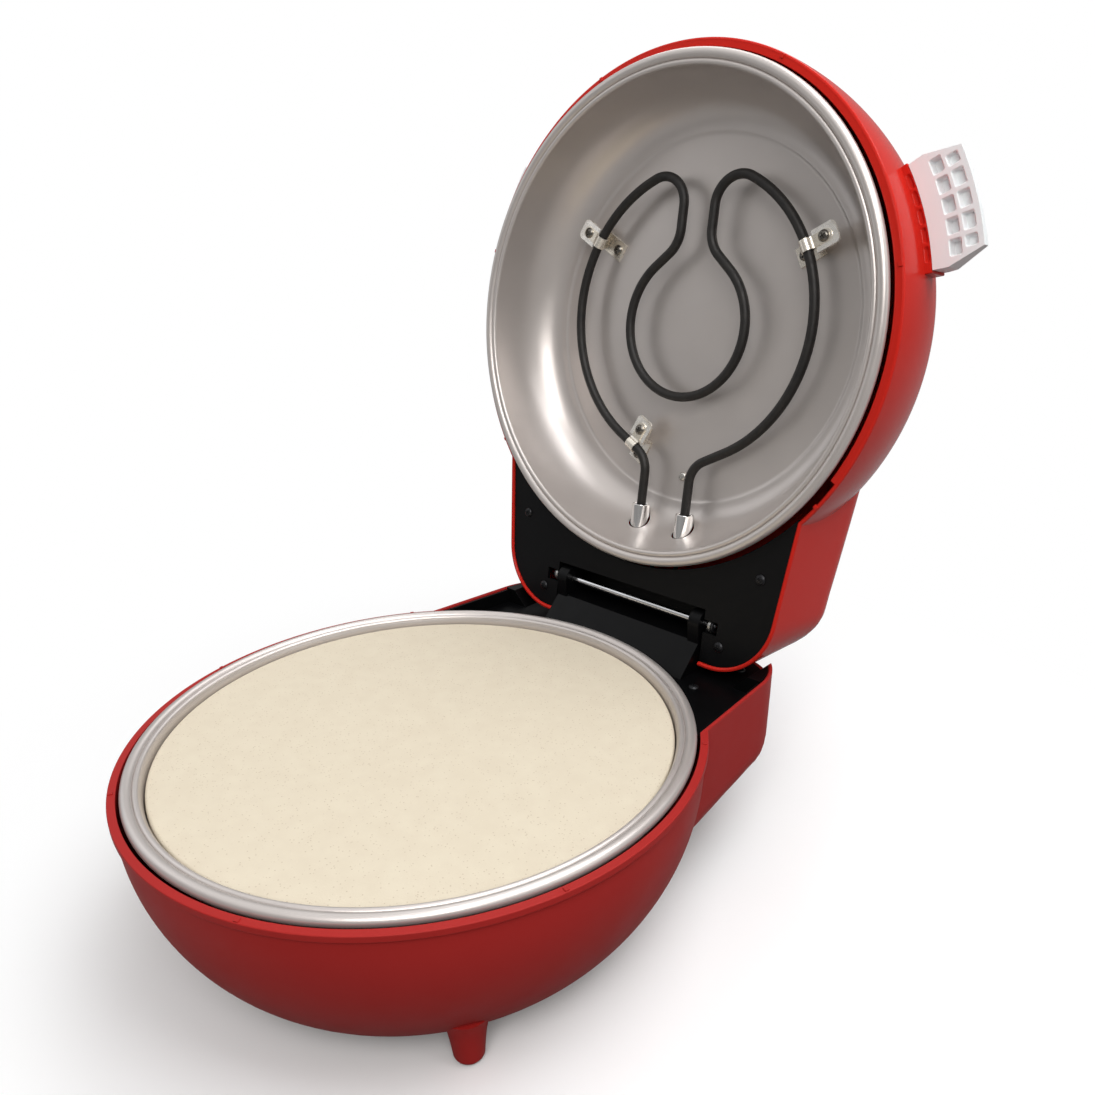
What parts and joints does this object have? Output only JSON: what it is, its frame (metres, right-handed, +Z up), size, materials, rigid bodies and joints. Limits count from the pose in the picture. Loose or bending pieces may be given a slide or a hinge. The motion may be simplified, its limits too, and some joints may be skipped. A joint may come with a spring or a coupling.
{
  "type": "countertop electric cooker with hinged domed lid",
  "caption": "Round countertop electric cooker: a footed bowl base with a flat baking stone, and a hinged domed lid with a heating rod and two side handles.",
  "frame": {"origin": "Centre of the whole model's box from left to right and from front to back, on the surface that the feet stand on, with the lid open.", "axes": "+X right along the hinge, +Y towards the hinge and the rear, +Z up."},
  "size_m": [0.3914, 0.5118, 0.4964],
  "materials": {
    "red_plastic": "glossy moulded",
    "black_plastic": "fine grained, matt",
    "white_plastic": "smooth",
    "ivory_plastic": "moulded",
    "pad_rubber": "matt",
    "lead_rubber": "silicone lead",
    "dish_metal": "spun, satin",
    "stone": "smooth, unglazed",
    "rod_sheath": "matt oxidised sheath",
    "sleeve_steel": "drawn",
    "clip_steel": "bright plated",
    "screw_steel": "plated",
    "black_steel": "black oxide",
    "fuse_metal": "plain"
  },
  "bodies": {
    "base": {"base_shell": "red_plastic", "base_deck": "black_plastic", "deck_screws": "black_steel", "foot_pads": "pad_rubber", "lower_dish": "dish_metal", "dish_screws": "screw_steel", "lower_heating_rod": "rod_sheath", "lower_rod_sleeves": "sleeve_steel", "lower_clip_brackets": "clip_steel", "lower_clip_straps": "clip_steel", "lower_clip_screws": "screw_steel", "hinge_riser": "black_plastic", "riser_screws": "black_steel", "hinge_rod": "sleeve_steel", "hinge_rod_nuts": "black_steel", "power_inlet": "black_plastic", "inlet_contacts": "sleeve_steel", "inlet_screws": "screw_steel", "base_terminal_block": "ivory_plastic", "thermostat": "sleeve_steel", "base_leads": "lead_rubber"},
    "lid": {"lid_shell": "red_plastic", "lid_inner_panel": "black_plastic", "panel_screws": "screw_steel", "upper_dish": "dish_metal", "upper_heating_rod": "rod_sheath", "upper_rod_sleeves": "sleeve_steel", "upper_clip_brackets": "clip_steel", "upper_clip_straps": "clip_steel", "upper_clip_screws": "screw_steel", "upper_dish_rivet": "screw_steel", "handle_left": "white_plastic", "handle_right": "white_plastic", "handle_screws": "screw_steel", "hinge_ear_left": "clip_steel", "hinge_ear_right": "clip_steel", "hinge_ear_screws": "screw_steel", "lid_terminal_block": "ivory_plastic", "thermal_fuse": "fuse_metal", "fuse_strap": "clip_steel", "lid_leads": "lead_rubber"},
    "stone": {"baking_stone": "stone"}
  },
  "joints": [
    {"name": "lid_hinge", "type": "hinge", "parent": "base", "child": "lid", "pos_m": [0, 0.10969, 0.136], "axis": [1, 0, 0], "range_deg": [0, 100.9]},
    {"name": "stone_lift", "type": "slide", "parent": "base", "child": "stone", "axis": [0, 0, 1], "range_m": [0, 0.035]}
  ]
}
